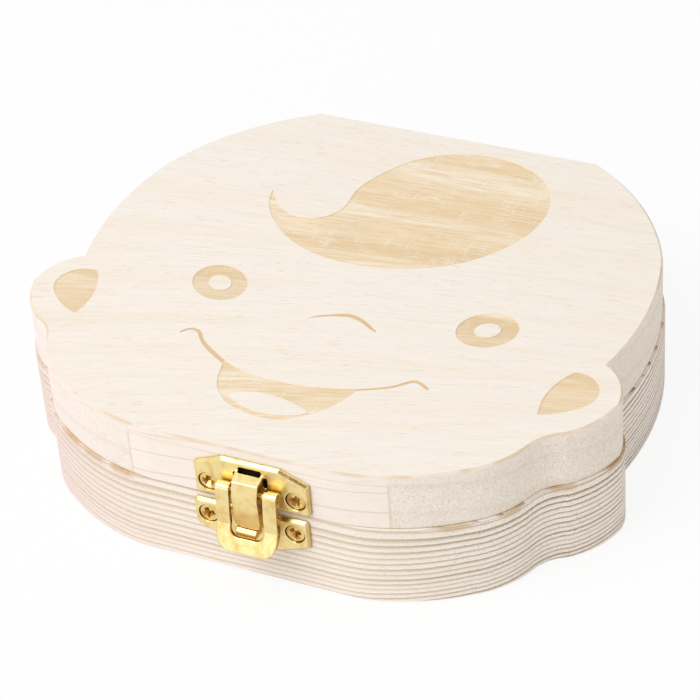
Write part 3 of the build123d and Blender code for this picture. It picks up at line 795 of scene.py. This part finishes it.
def pressed_copy(node, passes):
    """A copy of a solid's mesh with a fine skin and soft edges, in place of the solid."""
    mesh = frame["nodes"][node].data.copy()
    piece = bpy.data.objects.new(node + "_pressed", mesh)
    bpy.context.scene.collection.objects.link(piece)
    shape = bmesh.new()
    shape.from_mesh(mesh)
    bmesh.ops.remove_doubles(shape, verts=shape.verts, dist=0.001 * mm)
    shape.to_mesh(mesh)
    shape.free()
    skin = piece.modifiers.new("skin", "REMESH")
    skin.mode = "VOXEL"
    skin.voxel_size = skin_mm * mm
    skin.use_smooth_shade = True
    relax = piece.modifiers.new("relax", "SMOOTH")
    relax.factor = 0.5
    relax.iterations = passes
    settled(piece)
    piece.data.materials.clear()
    piece.data.materials.append(finish_for(node))
    stands_for(piece, node)


for node in ("latch_lid_plate", "latch_base_plate", "latch_flap"):
    pressed_copy(node, latch_passes)
for side in ("left", "right"):
    for leaf in ("lid", "base"):
        pressed_copy(f"hinge_{side}_{leaf}_leaf", hinge_passes)

# %% [markdown]
# The latch and hinges are held by twelve countersunk cross-head screws, and a screw follows a rule: a
# profile that is turned round an axis, with a thread that climbs as it goes round. So one geometry tree
# makes them all. It starts from a flat grid, which is wrapped into the turned shape, row by row from the
# crown of the head down to the tip. The thread is a groove whose phase grows with the depth and the turn.

# %% The turned shape of a screw
grid_round, grid_down = 40, 90


def turned_screw(bench, head, shank, length, dome, pitch, rim, tip):
    """The closed shape of a screw whose head lies at z = 0 and looks up."""
    grid = bench.node("GeometryNodeMeshGrid")
    grid_sizes = {"Size X": 1.0, "Size Y": 1.0, "Vertices X": grid_round, "Vertices Y": grid_down}
    for name, value in grid_sizes.items():
        bench.feed(grid.inputs[name], value)
    flat_x, flat_y = bench.split(bench.node("GeometryNodeInputPosition").outputs[0])[:2]
    around = bench.calc("ADD", flat_x, 0.5)
    down = bench.calc("ADD", flat_y, 0.5)
    crown = bench.ramp(down, 0.0, 0.30)
    edge = bench.ramp(down, 0.30, 0.34)
    cone = bench.ramp(down, 0.34, 0.46)
    stem = bench.ramp(down, 0.46, 0.90)
    point = bench.ramp(down, 0.90, 1.0)
    step_in = bench.calc("SUBTRACT", head, shank)
    straight = bench.calc("SUBTRACT", bench.calc("SUBTRACT", length, step_in), bench.sum(rim, tip))
    fall = bench.sum(bench.times(edge, rim), bench.times(cone, step_in), bench.times(stem, straight),
                     bench.times(point, tip))
    rise = bench.times(dome, bench.calc("SUBTRACT", 1.0, bench.times(crown, crown)))
    height = bench.calc("SUBTRACT", rise, fall)
    turn = bench.calc("ADD", bench.calc("DIVIDE", height, pitch), around)
    groove = bench.calc("PINGPONG", turn, 0.5)
    threaded = bench.times(bench.ramp(down, 0.48, 0.54), bench.step(down, 0.86, 0.92, 1.0, 0.0))
    radius = bench.calc("SUBTRACT", bench.times(head, crown), bench.times(step_in, cone))
    radius = bench.calc("SUBTRACT", radius, bench.times(shank, point))
    radius = bench.calc("SUBTRACT", radius, bench.times(groove, threaded, shank, 0.5))
    angle = bench.times(around, 2 * math.pi)
    wrapped = bench.join(bench.times(radius, bench.calc("COSINE", angle)),
                         bench.times(radius, bench.calc("SINE", angle)), height)
    shape = bench.node("GeometryNodeSetPosition")
    bench.feed(shape.inputs["Geometry"], grid.outputs[0])
    bench.feed(shape.inputs["Position"], wrapped)
    closed = bench.node("GeometryNodeMergeByDistance")
    bench.feed(closed.inputs["Geometry"], shape.outputs[0])
    bench.feed(closed.inputs["Distance"], 0.0005 * mm)
    outward = bench.node("GeometryNodeFlipFaces")
    bench.feed(outward.inputs[0], closed.outputs[0])
    return outward.outputs[0]


print("a screw is wrapped from", grid_round, "by", grid_down, "points")

# %% [markdown]
# The cross is what the screwdriver's tip leaves room for: two long blades that narrow downwards, and a
# short square one between them. We cut them out of the head with a boolean. The tree then notes how deep
# a point lies in the cross, and the finish browns it there, because polish never reaches the recess.

# %% The cross in the head
blade_length = 1.76
blades_of_cross = ((0.0, 1.0, 0.40), (math.pi / 2, 1.0, 0.40), (math.pi / 4, 0.50, 0.50))


def tapered_blade(bench, turn, long, wide, depth, above):
    """A blade that narrows downwards, from above the head to the bottom of the cross."""
    block = bench.node("GeometryNodeMeshCube")
    bench.feed(block.inputs["Size"], (1.0, 1.0, 1.0))
    x, y, z = bench.split(bench.node("GeometryNodeInputPosition").outputs[0])
    share = bench.calc("ADD", z, 0.5)
    along = bench.times(x, long, bench.sum(0.30, bench.times(share, 0.70)))
    across = bench.times(y, wide, bench.sum(0.40, bench.times(share, 0.60)))
    height = bench.calc("SUBTRACT", bench.times(share, bench.sum(depth, above)), depth)
    shape = bench.node("GeometryNodeSetPosition")
    bench.feed(shape.inputs["Geometry"], block.outputs[0])
    bench.feed(shape.inputs["Position"], bench.join(along, across, height))
    turned = bench.node("GeometryNodeTransform")
    bench.feed(turned.inputs["Geometry"], shape.outputs[0])
    bench.feed(turned.inputs["Rotation"], (0.0, 0.0, turn))
    return turned.outputs[0]


def crossed(bench, body, head, dome, depth):
    """The screw with the cross cut out of its head: each blade has its turn, length and width."""
    above = bench.times(dome, 2.0)
    long = bench.times(head, blade_length)
    blades = bench.node("GeometryNodeJoinGeometry")
    for turn, long_share, wide_share in blades_of_cross:
        blade_long, blade_wide = bench.times(long, long_share), bench.times(long, wide_share)
        blade = tapered_blade(bench, turn, blade_long, blade_wide, depth, above)
        bench.feed(blades.inputs[0], blade)
    cut = bench.node("GeometryNodeMeshBoolean", operation="DIFFERENCE", solver="EXACT")
    bench.feed(cut.inputs[0], body)
    bench.feed(cut.inputs[1], blades.outputs[0])
    bench.feed(cut.inputs["Self Intersection"], True)
    return cut.outputs[0]


def recess_noted(bench, screw, head, dome, depth):
    """The screw with a note at each point of how deep it lies in the cross."""
    x, y, z = bench.split(bench.node("GeometryNodeInputPosition").outputs[0])
    from_axis = bench.calc("SQRT", bench.sum(bench.times(x, x), bench.times(y, y)))
    off_axis = bench.calc("DIVIDE", from_axis, head)
    crown = bench.times(dome, bench.calc("SUBTRACT", 1.0, bench.times(off_axis, off_axis)))
    below = bench.calc("DIVIDE", bench.calc("SUBTRACT", crown, z), depth)
    deep = bench.times(bench.step(below, 0.05, 0.6), bench.step(below, 1.6, 1.8, 1.0, 0.0),
                       bench.step(off_axis, 0.80, 0.86, 1.0, 0.0))
    noted = bench.node("GeometryNodeStoreNamedAttribute", data_type="FLOAT", domain="POINT")
    bench.feed(noted.inputs["Geometry"], screw)
    bench.feed(noted.inputs["Name"], recess_name)
    bench.feed(noted.inputs["Value"], deep)
    return noted.outputs[0]


print("the cross is cut by", len(blades_of_cross), "blades")

# %% [markdown]
# The last part of the tree shades the screw smoothly, except over edges that are really sharp. It sets one
# on each place, leant over so that the head looks out of the wood. A screw isn't stopped at a chosen angle,
# so each one is turned by a random share of a quarter turn.

# %% A tree that turns screws
sharp_from = math.radians(35)
lengths_of_screw = ("Head Radius", "Shank Radius", "Length", "Dome", "Pitch", "Rim", "Tip", "Cross Depth")


def crisp_edges(bench, screw):
    """Smooth shading, with every edge that folds by more than 35 degrees kept sharp."""
    smooth = bench.node("GeometryNodeSetShadeSmooth", domain="FACE")
    bench.feed(smooth.inputs["Geometry"], screw)
    sharp = bench.node("GeometryNodeSetShadeSmooth", domain="EDGE")
    bench.feed(sharp.inputs["Geometry"], smooth.outputs[0])
    fold = bench.node("GeometryNodeInputMeshEdgeAngle").outputs["Unsigned Angle"]
    bench.feed(sharp.inputs["Selection"], bench.calc("GREATER_THAN", fold, sharp_from))
    bench.feed(sharp.inputs["Shade Smooth"], False)
    return sharp.outputs[0]


def on_places(bench, screw, places, lean_angle, seed):
    """One screw on each place, leant over and then turned about its own axis by chance."""
    placed = bench.node("GeometryNodeInstanceOnPoints")
    bench.feed(placed.inputs["Points"], places)
    bench.feed(placed.inputs["Instance"], screw)
    lean = bench.node("FunctionNodeEulerToRotation")
    bench.feed(lean.inputs[0], bench.join(lean_angle, 0.0, 0.0))
    bench.feed(placed.inputs["Rotation"], lean.outputs[0])
    chance = bench.node("FunctionNodeRandomValue", data_type="FLOAT")
    bench.feed(chance.inputs["Min"], 0.0)
    bench.feed(chance.inputs["Max"], math.pi / 2)
    bench.feed(chance.inputs["Seed"], seed)
    turn = bench.node("FunctionNodeEulerToRotation")
    bench.feed(turn.inputs[0], bench.join(0.0, 0.0, chance.outputs["Value"]))
    turned = bench.node("GeometryNodeRotateInstances")
    bench.feed(turned.inputs["Instances"], placed.outputs[0])
    bench.feed(turned.inputs["Rotation"], turn.outputs[0])
    real = bench.node("GeometryNodeRealizeInstances")
    bench.feed(real.inputs["Geometry"], turned.outputs[0])
    return real.outputs[0]


def screw_tree(finish):
    """The whole tree: its sizes come in as numbers, and its places as points."""
    tree = bpy.data.node_groups.new("cross_head_screws", "GeometryNodeTree")
    sockets = tree.interface
    sockets.new_socket("Places", in_out="INPUT", socket_type="NodeSocketGeometry")
    for name in (*lengths_of_screw, "Lean"):
        sockets.new_socket(name, in_out="INPUT", socket_type="NodeSocketFloat")
    sockets.new_socket("Seed", in_out="INPUT", socket_type="NodeSocketInt")
    sockets.new_socket("Screws", in_out="OUTPUT", socket_type="NodeSocketGeometry")
    bench = Bench(tree)
    given = bench.node("NodeGroupInput").outputs
    head, dome, depth = given["Head Radius"], given["Dome"], given["Cross Depth"]
    body = turned_screw(bench, head, given["Shank Radius"], given["Length"], dome, given["Pitch"],
                        given["Rim"], given["Tip"])
    screw = crossed(bench, body, head, dome, depth)
    screw = recess_noted(bench, screw, head, dome, depth)
    screw = crisp_edges(bench, screw)
    screws = on_places(bench, screw, given["Places"], given["Lean"], given["Seed"])
    coloured = bench.node("GeometryNodeSetMaterial")
    bench.feed(coloured.inputs["Geometry"], screws)
    bench.feed(coloured.inputs["Material"], finish)
    bench.feed(bench.node("NodeGroupOutput").inputs[0], coloured.outputs[0])
    print("the screw tree has", len(tree.nodes), "nodes")
    return tree


screws = screw_tree(finishes["screw"])

# %% [markdown]
# Each node of screws holds two of them, at the left and right end of its box. We put a point at each end,
# hang the tree on the two points as a modifier, and read the length and the head's width off the box. The
# heads are a little narrower than those of the solids, by more on the latch than on the hinges.

# %% Set the screws in their places
pitch_mm, rim_mm, tip_mm = 0.55, 0.15, 1.6
cross_depth_share = 0.38
out_of_front, out_of_back = -1, 1
socket_of = {item.name: item.identifier for item in screws.interface.items_tree if item.in_out == "INPUT"}


def set_screws(node, facing, shank_share, dome_mm, slack_mm, seed):
    """Screws in the two places of a node, with heads that look out of the front or the back."""
    low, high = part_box(node)
    full_head = (high.z - low.z) / 2
    head = full_head - slack_mm * mm
    head_y = low.y if facing == out_of_front else high.y
    head_z = low.z + full_head
    mesh = bpy.data.meshes.new(node + "_cut")
    mesh.from_pydata([(low.x + full_head, head_y, head_z), (high.x - full_head, head_y, head_z)], [], [])
    piece = bpy.data.objects.new(node + "_cut", mesh)
    bpy.context.scene.collection.objects.link(piece)
    maker = piece.modifiers.new("screws", "NODES")
    maker.node_group = screws
    sizes = {"Head Radius": head, "Shank Radius": head * shank_share, "Length": high.y - low.y,
             "Dome": dome_mm * mm, "Pitch": pitch_mm * mm, "Rim": rim_mm * mm, "Tip": tip_mm * mm,
             "Cross Depth": cross_depth_share * head, "Lean": -facing * math.pi / 2}
    for name, value in sizes.items():
        maker[socket_of[name]] = value
    maker[socket_of["Seed"]] = seed
    settled(piece)
    stands_for(piece, node)


set_screws("latch_lid_screws", out_of_front, 0.46, 0.22, 0.14, 3)
set_screws("latch_base_screws", out_of_front, 0.46, 0.22, 0.14, 8)
for number, side in enumerate(("left", "right")):
    for leaf in ("lid", "base"):
        set_screws(f"hinge_{side}_{leaf}_screws", out_of_back, 0.50, 0.12, 0.05, 20 + number)
